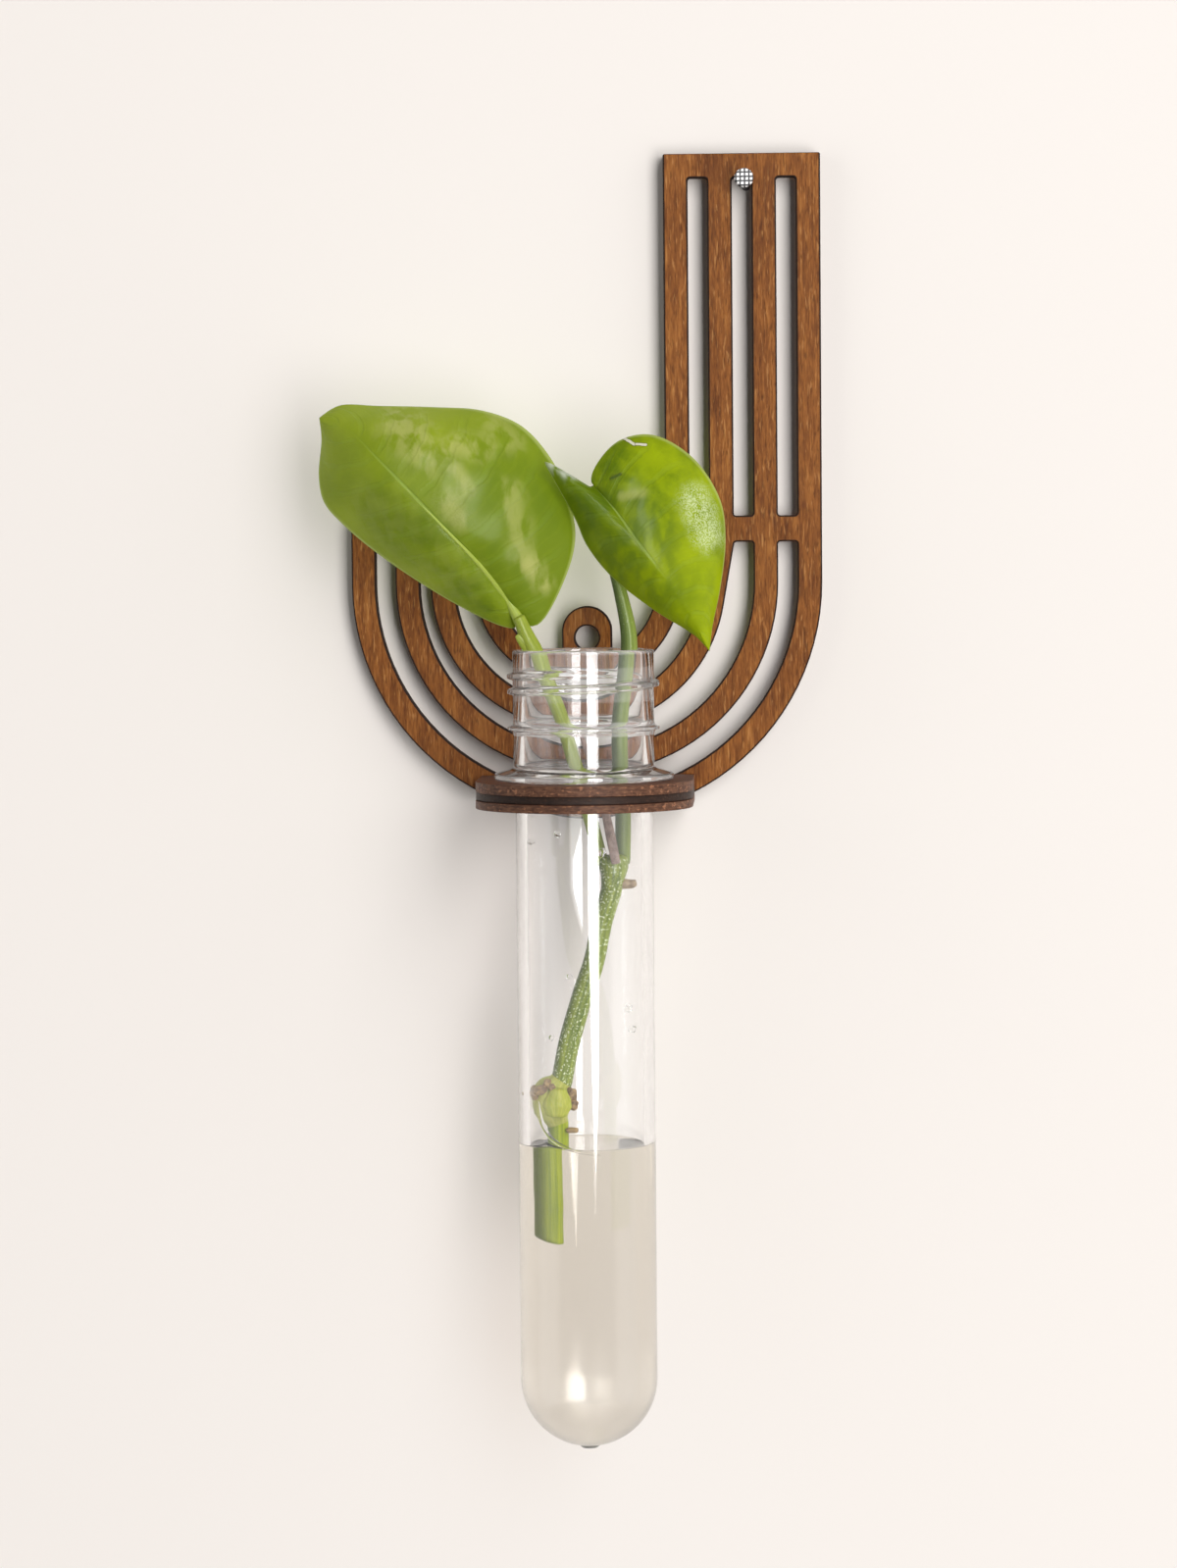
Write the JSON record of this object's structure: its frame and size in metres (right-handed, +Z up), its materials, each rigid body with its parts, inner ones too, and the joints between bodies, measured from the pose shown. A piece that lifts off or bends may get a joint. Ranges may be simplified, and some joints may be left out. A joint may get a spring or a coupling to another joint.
{
  "type": "propagation station",
  "caption": "Wall-hung propagation station: a pierced plywood J with a small shelf that holds a clear round-bottomed tube of water, in which a leafy cutting roots.",
  "frame": {"origin": "top end of the plate's middle slot, on the wall plane, where the nail carries the plate", "axes": "+X to the right, +Y into the wall, +Z up; the front faces -Y"},
  "size_m": [0.0912, 0.0571, 0.2353],
  "materials": {
    "plate_wood": "satin",
    "shelf_wood": "satin",
    "clear_plastic": "gloss",
    "water": "gloss",
    "stem_green": "satin",
    "node_green": "satin",
    "root_brown": "matte",
    "sheath_brown": "matte",
    "leaf_green": "satin",
    "nail_steel": "satin"
  },
  "bodies": {
    "stand": {"back_plate": "plate_wood", "shelf_upper": "shelf_wood", "shelf_middle": "shelf_wood", "shelf_lower": "shelf_wood"},
    "nail": {"wall_nail": "nail_steel"},
    "tube": {"test_tube": "clear_plastic", "water": "water"},
    "cutting": {"cut_stem": "stem_green", "lower_node": "node_green", "main_stem": "stem_green", "upper_node": "node_green", "aerial_root": "root_brown", "dried_sheath": "sheath_brown", "petiole_large": "stem_green", "petiole_small": "stem_green", "leaf_large": "leaf_green", "leaf_small": "leaf_green"}
  },
  "joints": [
    {"name": "nail_pull", "type": "slide", "parent": "stand", "child": "nail", "axis": [-0.0432, -0.9893, 0.1392], "range_m": [0, 0.024]},
    {"name": "tube_lift", "type": "slide", "parent": "stand", "child": "tube", "axis": [0, 0, 1], "range_m": [0, 0.122]},
    {"name": "cutting_lift", "type": "slide", "parent": "tube", "child": "cutting", "axis": [0, 0, 1], "range_m": [0, 0.108]}
  ]
}
